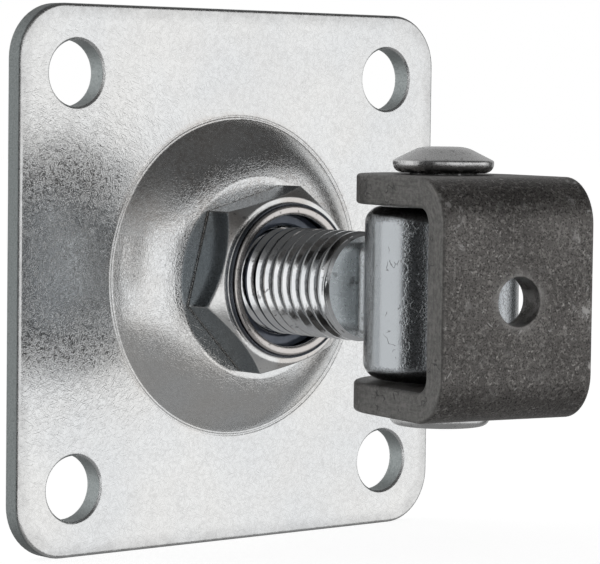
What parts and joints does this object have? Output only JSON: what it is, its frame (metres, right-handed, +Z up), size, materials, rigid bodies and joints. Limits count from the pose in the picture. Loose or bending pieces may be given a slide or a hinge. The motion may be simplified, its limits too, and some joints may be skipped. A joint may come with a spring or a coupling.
{
  "type": "adjustable gate hinge",
  "caption": "Gate hinge with a square domed post plate, a screw-adjustable threaded stud turned by a captive hex nut, and a U-shaped bracket swinging on a headed pin.",
  "frame": {"origin": "centre of the plate's back face, on the stud's axis", "axes": "+Y into the post, the stud comes out along -Y, +Z up along the hinge pin, +X to the right seen from the gate side"},
  "size_m": [0.1, 0.1169, 0.1],
  "materials": {
    "plate_zinc": "bright zinc plated",
    "nut_zinc": "bright zinc plated",
    "insert_nylon": "matte",
    "washer_zinc": "zinc plated",
    "stud_zinc": "bright zinc plated",
    "barrel_zinc": "satin zinc plated",
    "pin_zinc": "satin zinc plated",
    "bracket_steel": "bare mill-scale steel"
  },
  "bodies": {
    "plate": {"mounting_plate": "plate_zinc"},
    "nut": {"swivel_nut": "nut_zinc", "locking_insert": "insert_nylon", "retaining_washer": "washer_zinc"},
    "bolt": {"threaded_stud": "stud_zinc", "eye_barrel": "barrel_zinc"},
    "bracket": {"weld_bracket": "bracket_steel", "hinge_pin": "pin_zinc"}
  },
  "joints": [
    {"name": "bolt_slide", "type": "slide", "parent": "plate", "child": "bolt", "axis": [0, -1, 0], "range_m": [-0.015, 0.02]},
    {"name": "nut_turn", "type": "hinge", "parent": "plate", "child": "nut", "pos_m": [0, -0.0148, 0], "axis": [0, 1, 0], "range_deg": [-2161, 2881]},
    {"name": "bracket_swing", "type": "hinge", "parent": "bolt", "child": "bracket", "pos_m": [0, -0.06, 0], "axis": [0, 0, 1], "range_deg": [-78.5, 101.5]}
  ],
  "couplings": [
    {"joint": "nut_turn", "follows": "bolt_slide", "rad_per_m": 2513.3}
  ]
}
